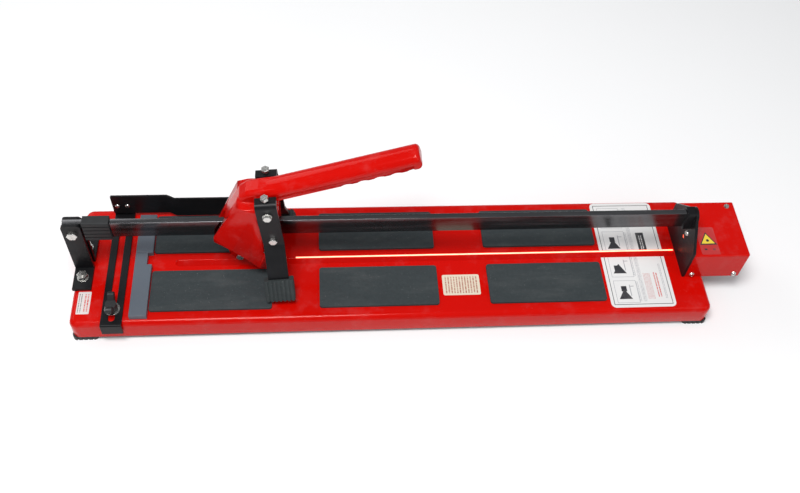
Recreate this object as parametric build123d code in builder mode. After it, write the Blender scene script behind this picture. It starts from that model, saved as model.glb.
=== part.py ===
from build123d import *
import os
from math import cos, radians, sin

# Manual tile cutter with a laser guide: a pressed-steel bed, a rail on two supports, and a cast head that
# runs along the rail with a scoring wheel, two breaker arms and a long grip.
# Millimetres, +Z up. X runs along the rail and Y to the back. The origin is on the floor, under the middle
# of the whole cutter. Lengths below count from the bed: X and Y from its centre, heights from its top.

# Bed
BED_LENGTH = 900.0
BED_WIDTH = 198.0
BED_DEPTH = 32.0
SHEET = 2.0
BED_CORNER = 11.0
BED_BEND = 8.0
FOOT_DROP = 8.0
BED_TOP = BED_DEPTH + FOOT_DROP
BED_X = -28.25  # the laser box overhangs the right end
BED_Y = 2.5  # the width stop hooks over the front edge
FOOT_LONG = 34.0
FOOT_WIDE = 30.0
FOOT_GROOVES = 5

# Rubber pads and breaking ridge
PAD_LENGTH = 168.0
PAD_WIDTH = 66.0
PAD_HEIGHT = 3.6
PAD_Y = 48.5
PAD_X = {"left": -260.0, "middle": -26.0, "right": 214.5}
RIDGE_HEIGHT = 7.0
RIDGE_HALF = 6.0
RIDGE_LEFT = -308.0
RIDGE_RIGHT = 412.0

# Rail and the rubber buffer on it
RAIL_THICK = 8.0
RAIL_TOP = 101.0
RAIL_BOTTOM = 71.0
RAIL_MID = (RAIL_TOP + RAIL_BOTTOM) / 2
RAIL_LEFT = -448.5
RAIL_RIGHT = 417.0
BUFFER_LEFT = -422.5
BUFFER_LONG = 35.0
BUFFER_WALL = 3.5
BUFFER_GROOVES = 4

# Left brackets
BRACKET_LEFT = -450.5
BRACKET_WIDE = 25.5
BRACKET_PLATE = 4.5
BRACKET_FOOT = 44.0
BRACKET_X = BRACKET_LEFT + BRACKET_WIDE / 2
BRACKET_FACE = RAIL_THICK / 2 + BRACKET_PLATE
BRACKET_BOLT_Z = 84.0
BRACKET_NUT_Y = 25.0
SPOT_FACE = 8.0

# Right support, laser box and laser
SUPPORT_PLATE = 4.0
SUPPORT_RIGHT = RAIL_RIGHT + SUPPORT_PLATE
SOCKET_LEFT = 405.0
SOCKET_WALL = 4.0
BOX_RIGHT = 503.0
BOX_FRONT = -43.0
BOX_BACK = 54.0
BOX_TALL = 52.0
BOX_SHEET = 1.6
BOX_MID_Y = (BOX_FRONT + BOX_BACK) / 2
LASER_Z = 41.5
LASER_RADIUS = 6.0
APERTURE = 3.4
COVER_SCREW = 2.0
COVER_SCREW_LONG = 8.0
COVER_SCREW_Z = 6.0
FRONT_SCREWS_X = (430.0, 493.0)
BACK_SCREW_X = 430.0
LID_SCREW = (491.0, 45.0)
CROSS_SCREW_Y = -6.0
CROSS_SCREW_Z = 57.0
SUPPORT_BOLTS = ((433.0, -27.0), (433.0, 27.0))
SWITCH_Y = -15.0
SWITCH_Z = 28.0
BUTTON_RADIUS = 4.0
BUTTON_PROUD = 4.0
CELL_RADIUS = 5.2
CELL_LONG = 44.5
CELL_LEFT = 451.5
CELL_Y = (21.0, 33.0)

# Tile fence across the left of the bed
FENCE_X = -357.0
FENCE_WIDE = 24.0
FENCE_TALL = 8.0
FENCE_FRONT = -92.0
FENCE_SEAM = 13.0
FENCE_BACK = 81.0
FENCE_NOTCH = 7.0

# Width stop
STOP_X = -392.25
STOP_WIDE = 28.5
STOP_SHEET = 3.0
STOP_HOOK = -104.0
STOP_BACK = 89.5
STOP_SLOT = 9.0
STOP_SLOT_FRONT = -96.0
STOP_SLOT_BACK = 50.0
GUIDE_FRONT = 78.0
GUIDE_JOGGLE = 6.0
GUIDE_SHEET = 2.5
GUIDE_LOW = 8.6
GUIDE_HIGH = 47.5
GUIDE_RIGHT = -231.0
KNOB_Y = -77.0
WING_HALF = 4.2
STUD_RADIUS = 3.0
WASHER_THICK = 1.5

# Head casting
AXLE_X = -182.0
AXLE_Z = 111.0
AXLE_RADIUS = 4.0
TOP_ROLLER = 9.7
LOW_ROLLER = 8.0
ROLLER_FLANGE = 2.6
ROLLER_GROOVE = 4.4
ROLLER_HALF = 6.6
LOW_AXLE_RADIUS = 3.0
LOW_AXLE_Z = RAIL_BOTTOM - LOW_ROLLER - 1.5
BOSS_INNER = 7.2
HEAD_TIP = -252.0
HEAD_HALF = 29.0
TIP_HALF = 12.0
CHEEK_INNER = 17.0
TIP_INNER = 6.5
SLOT_HALF = 8.0
NECK_HALF = 14.0
LEDGE_Z = 154.0
NECK_CREST = 165.0
GRIP_ANGLE = 18.75
GRIP_X = -131.0
GRIP_Z = 178.8
GRIP_WIDE = 31.0
GRIP_TALL = 23.0
GRIP_CROWN = 10.0
GRIP_TIP = 6.0
GRIP_STEP = 1.2
GRIP_STEP_TALL = 8.5
GRIP_BACK = 62.0
GRIP_AHEAD = 160.0
GROOVE_COUNT = 5
GROOVE_PITCH = 22.0
GROOVE_RADIUS = 16.0
GROOVE_DEPTH = 2.4

# Scoring wheel
WHEEL_X = -220.0
WHEEL_Z = 25.0
WHEEL_RADIUS = 11.0
WHEEL_THICK = 3.2
WHEEL_AXLE = 2.5

# Breaker arms
ARM_SHEET = 4.0
ARM_WIDE = 28.0
ARM_MID = HEAD_HALF + ARM_SHEET / 2
ARM_TOP = 18.5
ARM_TAB = 17.5
ARM_KINK = -63.0
ARM_SPLAY = 27.0
ARM_LEAN = 5.0
ARM_END = 76.0
ARM_BEND = 5.0
PIVOT_X = -175.0
BOLT_A_Z = 148.0
BOLT_B = -53.0
SCREW_OUT = 24.0
SCREW_HEAD = 25.0
SCREW_LONG = 18.5
PAD_START = 54.0
PAD_HALF = 20.0
PAD_THICK = 13.0
PAD_BOTTOM = 10.5
RIB_DEPTH = 1.2
RIB_COUNT = 7

# Label films: middle X and Y, length, width and the height they lie at
LABEL_THICK = 0.3
LABELS = (
    (351.0, 0.5, 95.0, 187.0, 0.0),
    (91.75, -48.25, 53.5, 34.5, 0.0),
    (-432.75, -64.0, 17.5, 36.0, 0.0),
    (446.0, -16.5, 27.0, 48.0, BOX_TALL),
)

# Fasteners: thread radius, width across flats, head height
M8 = (4.0, 13.0, 5.3)
M6 = (3.0, 10.0, 4.0)
M5 = (2.5, 8.0, 3.5)
WHEEL_BOLT = (WHEEL_AXLE, 10.0, 4.0)
HOLE_GAP = 0.3
RUNNING = 0.05
SIDES = {"front": -1, "rear": 1}
ENDS = {"left": -1, "right": 1}
LEAN_SHIFT = -BOLT_B * sin(radians(ARM_LEAN))
HEAD_HOLES = (
    (AXLE_X, AXLE_Z, AXLE_RADIUS + RUNNING),
    (AXLE_X, LOW_AXLE_Z, LOW_AXLE_RADIUS),
    (WHEEL_X, WHEEL_Z, WHEEL_AXLE),
    (PIVOT_X, BOLT_A_Z, M6[0]),
    (PIVOT_X + LEAN_SHIFT, BOLT_A_Z + BOLT_B * cos(radians(ARM_LEAN)), M6[0]),
)


def plane(x=0.0, y=0.0, z=0.0, right=(1, 0, 0), out=(0, 0, 1)):
    """A plane at a place on the bed, whose own x runs along right and which faces out."""
    return Plane(origin=(BED_X + x, BED_Y + y, BED_TOP + z), x_dir=right, z_dir=out)


def facing_down(x=0.0, y=0.0, z=0.0):
    return plane(x, y, z, out=(0, 0, -1))


def facing_front(x=0.0, y=0.0, z=0.0):
    """Its own x runs right and its own y runs up."""
    return plane(x, y, z, out=(0, -1, 0))


def facing_back(x=0.0, y=0.0, z=0.0):
    """Its own x runs left and its own y runs up."""
    return plane(x, y, z, right=(-1, 0, 0), out=(0, 1, 0))


def facing_right(x=0.0, y=0.0, z=0.0):
    """Its own x runs to the back and its own y runs up."""
    return plane(x, y, z, right=(0, 1, 0), out=(1, 0, 0))


def facing_left(x=0.0, y=0.0, z=0.0):
    """Its own x runs to the front and its own y runs up."""
    return plane(x, y, z, right=(0, -1, 0), out=(-1, 0, 0))


def arm_plane(side):
    """The plane across a breaker arm at its pivot bolt: its own x runs outwards, its own y up the arm."""
    lean = radians(ARM_LEAN)
    across = (side * cos(lean), 0, side * sin(lean))
    return plane(PIVOT_X, 0, BOLT_A_Z, right=(0, side, 0), out=across)


def bolt_place(along):
    """Where a bolt through the arms crosses the middle plane: along is up the arm from the pivot bolt."""
    lean = radians(ARM_LEAN)
    return (PIVOT_X - along * sin(lean), 0, BOLT_A_Z + along * cos(lean))


def screw_plane(side):
    """The plane under an adjusting screw's head, facing up the arm."""
    arm = arm_plane(side)
    return Plane(origin=arm.from_local_coords((SCREW_OUT, SCREW_HEAD, 0)), x_dir=arm.x_dir, z_dir=arm.y_dir)


def write(piece, name):
    """Labels a finished piece and writes it under parts."""
    piece.part.label = name
    export_step(piece.part, f"parts/{name}.step")


def hex_bolts(planes, size, length):
    """Hex-head bolts. Each head stands on its plane and its shank goes down through it."""
    radius, flats, head = size
    crown = head / 6
    with BuildPart() as bolts:
        with BuildSketch(*planes):
            RegularPolygon(flats / 2, 6, major_radius=False)
        extrude(amount=head - crown)
        with BuildSketch(*[place.offset(head - crown) for place in planes]):
            RegularPolygon(flats / 2, 6, major_radius=False)
        extrude(amount=crown, taper=40)
        with BuildSketch(*planes):
            Circle(radius)
        extrude(amount=-length)
    return bolts


def nuts(planes, size, thick):
    """Hex nuts that stand on their planes."""
    radius, flats, _ = size
    with BuildPart() as nut:
        with BuildSketch(*planes):
            RegularPolygon(flats / 2, 6, major_radius=False)
            Circle(radius, mode=Mode.SUBTRACT)
        extrude(amount=thick)
    return nut


def rings(planes, inner, outer, thick):
    """Washers, spacers or bushes that stand on their planes."""
    with BuildPart() as ring:
        with BuildSketch(*planes):
            Circle(outer)
            Circle(inner, mode=Mode.SUBTRACT)
        extrude(amount=thick)
    return ring


def pins(planes, radius, length):
    """Plain pins with chamfered ends, from their planes along the planes' facing."""
    with BuildPart() as pin:
        with BuildSketch(*planes):
            Circle(radius)
        extrude(amount=length)
        chamfer(pin.edges().filter_by(GeomType.CIRCLE), 0.4)
    return pin


def make_bed_plate():
    """The bed: one sheet pressed into a tray, open below, with rounded bends and the bolt holes."""
    with BuildPart() as bed_plate:
        with BuildSketch(plane(z=-BED_DEPTH)):
            RectangleRounded(BED_LENGTH, BED_WIDTH, BED_CORNER)
        extrude(amount=BED_DEPTH)
        fillet(bed_plate.faces().sort_by(Axis.Z)[-1].edges(), BED_BEND)
        offset(amount=-SHEET, openings=bed_plate.faces().sort_by(Axis.Z)[0])
        with BuildSketch(plane(BRACKET_X)):
            with Locations((0, -BRACKET_NUT_Y), (0, BRACKET_NUT_Y)):
                Circle(M8[0] + HOLE_GAP)
        extrude(amount=-BED_DEPTH, mode=Mode.SUBTRACT)
        with BuildSketch(plane()):
            with Locations(*SUPPORT_BOLTS):
                Circle(M6[0] + HOLE_GAP)
            with Locations((STOP_X, KNOB_Y)):
                Circle(STUD_RADIUS + HOLE_GAP)
        extrude(amount=-BED_DEPTH, mode=Mode.SUBTRACT)
        with BuildSketch(plane(BRACKET_X, z=-SHEET)):
            with Locations((0, -BRACKET_NUT_Y), (0, BRACKET_NUT_Y)):
                Circle(SPOT_FACE)
        extrude(amount=-M8[2], mode=Mode.SUBTRACT)
    return bed_plate


def make_foot(x_side, y_side):
    """A corner foot: a grooved rubber block below the flanges with a post up to the sheet."""
    x = x_side * (BED_LENGTH / 2 - FOOT_LONG / 2)
    y = y_side * (BED_WIDTH / 2 - FOOT_WIDE / 2)
    with BuildPart() as foot:
        with BuildSketch(plane(x, y, -BED_TOP)):
            RectangleRounded(FOOT_LONG, FOOT_WIDE, 5)
        extrude(amount=FOOT_DROP)
        with BuildSketch(plane(x, y, -BED_TOP)):
            with GridLocations(FOOT_LONG / FOOT_GROOVES, 2 * FOOT_WIDE, FOOT_GROOVES - 1, 1):
                with Locations((0, y_side * FOOT_WIDE / 2)):
                    Rectangle(2, 2)
        extrude(amount=FOOT_DROP - 1, mode=Mode.SUBTRACT)
        with BuildSketch(plane(x - x_side * 5, y - y_side * 5, -BED_DEPTH)):
            RectangleRounded(FOOT_LONG - 14, FOOT_WIDE - 14, 3)
        extrude(amount=BED_DEPTH - SHEET)
    return foot


def make_pad(x, side):
    """One of the rubber pads that the tile lies on."""
    with BuildPart() as pad:
        with BuildSketch(plane(x, side * PAD_Y)):
            RectangleRounded(PAD_LENGTH, PAD_WIDTH, 4)
        extrude(amount=PAD_HEIGHT)
        fillet(pad.faces().sort_by(Axis.Z)[-1].edges(), 0.8)
    return pad


def make_ridge():
    """The breaking ridge under the cutting line, with a rounded crest and a rounded left end."""
    crest = RIDGE_HALF / 6
    shoulder = RIDGE_HEIGHT - 0.5
    with BuildPart() as breaking_ridge:
        with BuildSketch(facing_right(RIDGE_LEFT)):
            with BuildLine():
                Polyline((-crest, shoulder), (-RIDGE_HALF, 0), (RIDGE_HALF, 0), (crest, shoulder))
                ThreePointArc((crest, shoulder), (0, RIDGE_HEIGHT), (-crest, shoulder))
            make_face()
        extrude(amount=RIDGE_RIGHT - RIDGE_LEFT)
        with BuildSketch(facing_front(RIDGE_LEFT)):
            with BuildLine():
                Polyline((0, RIDGE_HEIGHT), (0, 0), (RIDGE_HALF, 0), (crest, shoulder))
                Line((crest, shoulder), (0, RIDGE_HEIGHT))
            make_face()
        revolve(axis=Axis((BED_X + RIDGE_LEFT, BED_Y, 0), (0, 0, 1)), revolution_arc=360)
    return breaking_ridge


def make_rail():
    """The flat steel rail, on edge, with the bracket bolt's hole at its left end."""
    with BuildPart() as rail:
        with BuildSketch(facing_right(RAIL_LEFT, z=RAIL_MID)):
            Rectangle(RAIL_THICK, RAIL_TOP - RAIL_BOTTOM)
        extrude(amount=RAIL_RIGHT - RAIL_LEFT)
        chamfer(rail.edges().filter_by(Axis.X), 0.5)
        with BuildSketch(facing_front(BRACKET_X, RAIL_THICK, BRACKET_BOLT_Z)):
            Circle(M8[0] + HOLE_GAP)
        extrude(amount=2 * RAIL_THICK, mode=Mode.SUBTRACT)
    return rail


def make_rail_buffer():
    """The grooved rubber sleeve on the rail that stops the head before the brackets."""
    tall = RAIL_TOP - RAIL_BOTTOM
    with BuildPart() as rail_buffer:
        with BuildSketch(facing_right(BUFFER_LEFT, z=RAIL_MID)):
            RectangleRounded(RAIL_THICK + 2 * BUFFER_WALL, tall + 2 * BUFFER_WALL, 2)
        extrude(amount=BUFFER_LONG)
        with BuildSketch(facing_right(BUFFER_LEFT, z=RAIL_MID)):
            with GridLocations(RAIL_THICK + 2 * BUFFER_WALL, tall / BUFFER_GROOVES, 2, BUFFER_GROOVES):
                Rectangle(BUFFER_WALL / 2, BUFFER_WALL / 2)
        extrude(amount=BUFFER_LONG, mode=Mode.SUBTRACT)
        fillet(rail_buffer.faces().sort_by(Axis.X)[-1].outer_wire().edges().sort_by(Axis.Z)[-1], 0.5)
        with BuildSketch(facing_right(BUFFER_LEFT, z=RAIL_MID)):
            Rectangle(RAIL_THICK, tall)
        extrude(amount=BUFFER_LONG, mode=Mode.SUBTRACT)
    return rail_buffer


def make_left_bracket(side):
    """An angle bracket: a plate against the rail's face and a foot that runs outwards on the bed."""
    inner = RAIL_THICK / 2
    facing = facing_right if side > 0 else facing_left
    start = BRACKET_LEFT if side > 0 else BRACKET_LEFT + BRACKET_WIDE
    with BuildPart() as left_bracket:
        with BuildSketch(facing(start)) as profile:
            Polygon(
                (inner, 0),
                (BRACKET_FOOT, 0),
                (BRACKET_FOOT, BRACKET_PLATE),
                (BRACKET_FACE, BRACKET_PLATE),
                (BRACKET_FACE, RAIL_TOP),
                (inner, RAIL_TOP),
                align=None,
            )
            bend = facing(start).from_local_coords((BRACKET_FACE, BRACKET_PLATE, 0))
            fillet(profile.vertices().sort_by_distance(bend)[0], 3)
        extrude(amount=BRACKET_WIDE)
        outer = left_bracket.faces().sort_by(Axis.Z)[-1].edges().filter_by(Axis.Y)
        fillet(outer, 5)
        with BuildSketch(facing_front(BRACKET_X, BRACKET_FOOT, BRACKET_BOLT_Z)):
            Circle(M8[0] + HOLE_GAP)
        extrude(amount=2 * BRACKET_FOOT, mode=Mode.SUBTRACT)
        with BuildSketch(plane(BRACKET_X, side * BRACKET_NUT_Y)):
            Circle(M8[0] + HOLE_GAP)
        extrude(amount=2 * BRACKET_PLATE, mode=Mode.SUBTRACT)
    return left_bracket


def cover_screw_planes():
    """Under the heads of the cover's own screws: two in front, one behind and one in its top."""
    fronts = [facing_front(x, BOX_FRONT, COVER_SCREW_Z) for x in FRONT_SCREWS_X]
    return fronts + [facing_back(BACK_SCREW_X, BOX_BACK, COVER_SCREW_Z), plane(*LID_SCREW, BOX_TALL)]


def make_end_support():
    """The right support: a gabled plate, a socket for the rail's end and a foot under the laser box."""
    side = SUPPORT_PLATE
    socket = RAIL_THICK / 2 + SOCKET_WALL
    floor_right = BOX_RIGHT - BOX_SHEET - HOLE_GAP
    inset = BOX_SHEET + HOLE_GAP
    with BuildPart() as end_support:
        with BuildSketch(facing_right(RAIL_RIGHT)):
            with BuildLine():
                Polyline((-12, 94), (BOX_FRONT, 56), (BOX_FRONT, 0), (BOX_BACK, 0), (BOX_BACK, 50), (12, 94))
                ThreePointArc((12, 94), (0, 104), (-12, 94))
            make_face()
        extrude(amount=side)
        with BuildSketch(facing_right(SOCKET_LEFT, z=RAIL_MID)):
            RectangleRounded(2 * socket, RAIL_TOP - RAIL_BOTTOM + SOCKET_WALL, 2)
            Rectangle(RAIL_THICK, RAIL_TOP - RAIL_BOTTOM, mode=Mode.SUBTRACT)
        extrude(amount=RAIL_RIGHT - SOCKET_LEFT)
        with BuildSketch(plane((RAIL_RIGHT + floor_right) / 2, BOX_MID_Y)):
            Rectangle(floor_right - RAIL_RIGHT, BOX_BACK - BOX_FRONT - 2 * inset)
        extrude(amount=side)
        with BuildSketch(facing_right(RAIL_RIGHT)):
            with Locations((0, LASER_Z)):
                Circle(APERTURE)
            with Locations((CROSS_SCREW_Y, CROSS_SCREW_Z)):
                Circle(M5[0] + HOLE_GAP)
        extrude(amount=side, mode=Mode.SUBTRACT)
        with BuildSketch(plane()):
            with Locations(*SUPPORT_BOLTS):
                Circle(M6[0] + HOLE_GAP)
        extrude(amount=side, mode=Mode.SUBTRACT)
        lugs = [(x, BOX_FRONT + inset + side / 2) for x in FRONT_SCREWS_X]
        lugs.append((BACK_SCREW_X, BOX_BACK - inset - side / 2))
        with BuildSketch(plane()):
            with Locations(*lugs):
                Rectangle(3 * side, side)
        extrude(amount=COVER_SCREW_Z + side)
        with BuildSketch(*cover_screw_planes()[:3]):
            Circle(COVER_SCREW)
        extrude(amount=-COVER_SCREW_LONG, mode=Mode.SUBTRACT)
    return end_support


def make_laser_cover():
    """The red box over the laser: a folded sheet, open below and towards the support, with a tab."""
    with BuildPart() as laser_cover:
        with BuildSketch(plane((SUPPORT_RIGHT + BOX_RIGHT) / 2, BOX_MID_Y)):
            Rectangle(BOX_RIGHT - SUPPORT_RIGHT, BOX_BACK - BOX_FRONT)
        extrude(amount=BOX_TALL)
        upper = laser_cover.faces().sort_by(Axis.Z)[-1].edges()
        fillet(upper.sort_by(Axis.X)[1:] + laser_cover.edges().filter_by(Axis.Z).sort_by(Axis.X)[2:], 2.5)
        openings = [laser_cover.faces().sort_by(Axis.Z)[0], laser_cover.faces().sort_by(Axis.X)[0]]
        offset(amount=-BOX_SHEET, openings=openings)
        with BuildSketch(facing_right(SUPPORT_RIGHT)):
            with Locations((0, BOX_TALL + 4)):
                RectangleRounded(26, 14, 2)
            with Locations((CROSS_SCREW_Y, CROSS_SCREW_Z)):
                Circle(M5[0] + HOLE_GAP, mode=Mode.SUBTRACT)
        extrude(amount=BOX_SHEET)
        with BuildSketch(facing_right(BOX_RIGHT - 2 * BOX_SHEET, SWITCH_Y, SWITCH_Z)):
            Circle(BUTTON_RADIUS + HOLE_GAP)
        extrude(amount=4 * BOX_SHEET, mode=Mode.SUBTRACT)
        with BuildSketch(*cover_screw_planes()):
            Circle(COVER_SCREW)
        extrude(amount=-2 * BOX_SHEET, mode=Mode.SUBTRACT)
    return laser_cover


def make_laser_module():
    """The laser's metal barrel, along the rail behind the aperture."""
    with BuildPart() as laser_module:
        with BuildSketch(facing_right(SUPPORT_RIGHT + 0.5, z=LASER_Z)):
            Circle(LASER_RADIUS)
        extrude(amount=34)
        chamfer(laser_module.edges().filter_by(GeomType.CIRCLE), 0.6)
        with BuildSketch(facing_right(SUPPORT_RIGHT + 0.5, z=LASER_Z)):
            Circle(APERTURE)
        extrude(amount=3, mode=Mode.SUBTRACT)
    return laser_module


def make_laser_clamp():
    """The plastic block that holds the laser's barrel on the support's foot."""
    long = 14.0
    with BuildPart() as laser_clamp:
        with BuildSketch(facing_right(SUPPORT_RIGHT + 10)):
            with Locations((0, (LASER_Z + SUPPORT_PLATE) / 2)):
                Rectangle(22, LASER_Z - SUPPORT_PLATE)
            with Locations((0, LASER_Z)):
                Circle(8)
                Circle(LASER_RADIUS, mode=Mode.SUBTRACT)
        extrude(amount=long)
    return laser_clamp


def make_battery_holder():
    """An open tray for two small cells."""
    long = CELL_LONG + 4
    wide = CELL_Y[1] - CELL_Y[0] + 2 * CELL_RADIUS + 4
    middle = (CELL_Y[0] + CELL_Y[1]) / 2
    with BuildPart() as battery_holder:
        with BuildSketch(plane(CELL_LEFT + CELL_LONG / 2, middle, SUPPORT_PLATE)):
            RectangleRounded(long, wide, 1.5)
        extrude(amount=CELL_RADIUS + 3)
        with BuildSketch(plane(CELL_LEFT + CELL_LONG / 2, middle, SUPPORT_PLATE + 1.5)):
            Rectangle(CELL_LONG + 1, wide - 3)
        extrude(amount=2 * CELL_RADIUS, mode=Mode.SUBTRACT)
    return battery_holder


def make_batteries():
    """The two cells, side by side."""
    height = SUPPORT_PLATE + 1.5 + CELL_RADIUS
    with BuildPart() as batteries:
        with BuildSketch(*[facing_right(CELL_LEFT, y, height) for y in CELL_Y]):
            Circle(CELL_RADIUS)
        extrude(amount=CELL_LONG - 1)
        fillet(batteries.edges().filter_by(GeomType.CIRCLE), 0.5)
        with BuildSketch(*[facing_right(CELL_LEFT + CELL_LONG - 1, y, height) for y in CELL_Y]):
            Circle(1.8)
        extrude(amount=1)
    return batteries


def make_switch_housing():
    """The switch's body, on the inside of the box's right wall."""
    wall = BOX_RIGHT - BOX_SHEET
    with BuildPart() as switch_housing:
        with BuildSketch(facing_left(wall, SWITCH_Y, SWITCH_Z)):
            RectangleRounded(14, 14, 1.5)
        extrude(amount=12)
        with BuildSketch(facing_left(wall, SWITCH_Y, SWITCH_Z)):
            Circle(BUTTON_RADIUS + HOLE_GAP)
        extrude(amount=8, mode=Mode.SUBTRACT)
    return switch_housing


def make_laser_switch():
    """The push button of the laser, through the box's right wall."""
    with BuildPart() as laser_switch:
        with BuildSketch(facing_left(BOX_RIGHT + BUTTON_PROUD, SWITCH_Y, SWITCH_Z)):
            Circle(BUTTON_RADIUS)
        extrude(amount=BUTTON_PROUD + BOX_SHEET + 5)
        fillet(laser_switch.faces().sort_by(Axis.X)[-1].edges(), 0.8)
    return laser_switch


def make_cover_screws():
    """Pan-head cross screws: the cover's, into the support's foot, and the one through its tab."""
    head, tall = 2.1 * COVER_SCREW, COVER_SCREW
    with BuildPart() as cover_screws:
        for place in cover_screw_planes() + [facing_left(RAIL_RIGHT, CROSS_SCREW_Y, CROSS_SCREW_Z)]:
            with BuildSketch(place):
                Circle(head)
            extrude(amount=tall, taper=25)
            with BuildSketch(place):
                Circle(COVER_SCREW)
            extrude(amount=-COVER_SCREW_LONG)
            with BuildSketch(place.offset(tall)):
                Rectangle(1.2 * head, head / 4)
                Rectangle(head / 4, 1.2 * head)
            extrude(amount=-tall / 2, mode=Mode.SUBTRACT)
    return cover_screws


def make_labels():
    """The label films, plain: the large one beside the rail's support, two small ones and the box's."""
    with BuildPart() as labels:
        for x, y, long, wide, height in LABELS:
            with BuildSketch(plane(x, y, height)):
                RectangleRounded(long, wide, min(long, wide) / 13)
            extrude(amount=LABEL_THICK)
        with BuildSketch(plane()):
            Rectangle(BED_LENGTH, 2 * (RIDGE_HALF + HOLE_GAP))
        extrude(amount=1, mode=Mode.SUBTRACT)
    return labels


def make_weld_nut():
    """The square nut welded under the bed for the clamp's stud."""
    with BuildPart() as weld_nut:
        with BuildSketch(facing_down(STOP_X, KNOB_Y, -SHEET)):
            RectangleRounded(12, 12, 1)
            Circle(STUD_RADIUS + RUNNING, mode=Mode.SUBTRACT)
        extrude(amount=5)
    return weld_nut


def make_fence(front, back, notch):
    """A stretch of the raised tile fence, folded from sheet, with a notch for the wheel on its right."""
    middle = (front + back) / 2
    with BuildPart() as fence:
        with BuildSketch(plane(FENCE_X, middle)):
            RectangleRounded(FENCE_WIDE, back - front, 1)
        extrude(amount=FENCE_TALL)
        fillet(fence.faces().sort_by(Axis.Z)[-1].edges(), 0.9)
        with BuildSketch(plane(FENCE_X, middle)):
            Rectangle(FENCE_WIDE - 4, back - front - 4)
        extrude(amount=FENCE_TALL - SHEET, mode=Mode.SUBTRACT)
        if notch:
            right = FENCE_X + FENCE_WIDE / 2
            with BuildSketch(plane(right - FENCE_NOTCH / 2, (notch + back) / 2)):
                Rectangle(FENCE_NOTCH, back - notch)
            extrude(amount=FENCE_TALL, mode=Mode.SUBTRACT)
            with BuildSketch(plane(right - FENCE_NOTCH - 1, (notch + back) / 2 - 1)):
                Rectangle(2, back - notch)
            extrude(amount=FENCE_TALL - 1)
    return fence


def make_stop_arm():
    """The width stop's arm: a slotted strip that hooks over the bed's front and turns up at the back."""
    hook_low = -17.0
    tab_high = 42.0
    with BuildPart() as stop_arm:
        with BuildSketch(facing_right(STOP_X - STOP_WIDE / 2)):
            Polygon(
                (STOP_HOOK, hook_low),
                (STOP_HOOK + STOP_SHEET, hook_low),
                (STOP_HOOK + STOP_SHEET, 0),
                (STOP_BACK, 0),
                (STOP_BACK, tab_high),
                (STOP_BACK - STOP_SHEET, tab_high),
                (STOP_BACK - STOP_SHEET, STOP_SHEET),
                (STOP_HOOK, STOP_SHEET),
                align=None,
            )
        extrude(amount=STOP_WIDE)
        fillet(stop_arm.edges().filter_by(Axis.X).group_by(Axis.Y)[0].sort_by(Axis.Z)[-1], 2.6)
        fillet(stop_arm.edges().filter_by(Axis.X).group_by(Axis.Y)[-1].sort_by(Axis.Z)[0], 2.6)
        middle = (STOP_SLOT_FRONT + STOP_SLOT_BACK) / 2
        with BuildSketch(plane(STOP_X, middle)):
            SlotOverall(STOP_SLOT_BACK - STOP_SLOT_FRONT, STOP_SLOT, rotation=90)
        extrude(amount=STOP_SHEET, mode=Mode.SUBTRACT)
        with BuildSketch(facing_front(STOP_X, STOP_BACK, (GUIDE_LOW + tab_high) / 2)):
            with GridLocations(14, 1, 2, 1):
                Circle(2)
        extrude(amount=STOP_SHEET + 1, mode=Mode.SUBTRACT)
    return stop_arm


def make_stop_guide():
    """The width stop's upright guide, with a joggle between its left tab and its long right face."""
    back = GUIDE_FRONT + GUIDE_JOGGLE
    left = STOP_X - STOP_WIDE / 2
    with BuildPart() as stop_guide:
        with BuildSketch(plane(z=GUIDE_LOW)):
            Polygon(
                (left, back),
                (-327, back),
                (-316, GUIDE_FRONT),
                (GUIDE_RIGHT, GUIDE_FRONT),
                (GUIDE_RIGHT, GUIDE_FRONT + GUIDE_SHEET),
                (-315.4, GUIDE_FRONT + GUIDE_SHEET),
                (-326.4, back + GUIDE_SHEET),
                (left, back + GUIDE_SHEET),
                align=None,
            )
        extrude(amount=GUIDE_HIGH - GUIDE_LOW)
        ends = stop_guide.edges().filter_by(Axis.Y).group_by(Axis.X)
        fillet(ends[0] + ends[-1], 2)
        with BuildSketch(facing_front(STOP_X, back + GUIDE_SHEET, (GUIDE_LOW + 42) / 2)):
            with GridLocations(14, 1, 2, 1):
                Circle(2)
        extrude(amount=GUIDE_SHEET + 1, mode=Mode.SUBTRACT)
    return stop_guide


def make_stop_rivets():
    """The two rivets that hold the upright guide to the arm's tab."""
    face = GUIDE_FRONT + GUIDE_JOGGLE
    height = (GUIDE_LOW + 42) / 2
    with BuildPart() as stop_rivets:
        for x in (-7, 7):
            with BuildSketch(facing_back(STOP_X + x, face, height)):
                Circle(1.95)
            extrude(amount=STOP_BACK - face)
            for place in (facing_front(STOP_X + x, face, height), facing_back(STOP_X + x, STOP_BACK, height)):
                with BuildSketch(place):
                    Circle(3.6)
                extrude(amount=1.6, taper=35)
    return stop_rivets


def make_wing_knob():
    """The clamp's plastic knob: a hub with two wings."""
    low = STOP_SHEET + WASHER_THICK
    with BuildPart() as wing_knob:
        with BuildSketch(plane(STOP_X, KNOB_Y, low)):
            Circle(7.5)
        extrude(amount=13)
        with BuildSketch(facing_right(STOP_X, KNOB_Y, low)):
            with BuildLine():
                Polyline((0, 5), (7, 4), (15, 12))
                ThreePointArc((15, 12), (16, 18.5), (10, 20))
                Polyline((10, 20), (5, 13), (-5, 13), (-10, 20))
                ThreePointArc((-10, 20), (-16, 18.5), (-15, 12))
                Polyline((-15, 12), (-7, 4), (0, 5))
            make_face()
        extrude(amount=WING_HALF, both=True)
        fillet(wing_knob.edges().filter_by(GeomType.CIRCLE).sort_by(Axis.Z)[0], 0.6)
        with BuildSketch(plane(STOP_X, KNOB_Y, low)):
            Circle(STUD_RADIUS)
        extrude(amount=10, mode=Mode.SUBTRACT)
    return wing_knob


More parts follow.
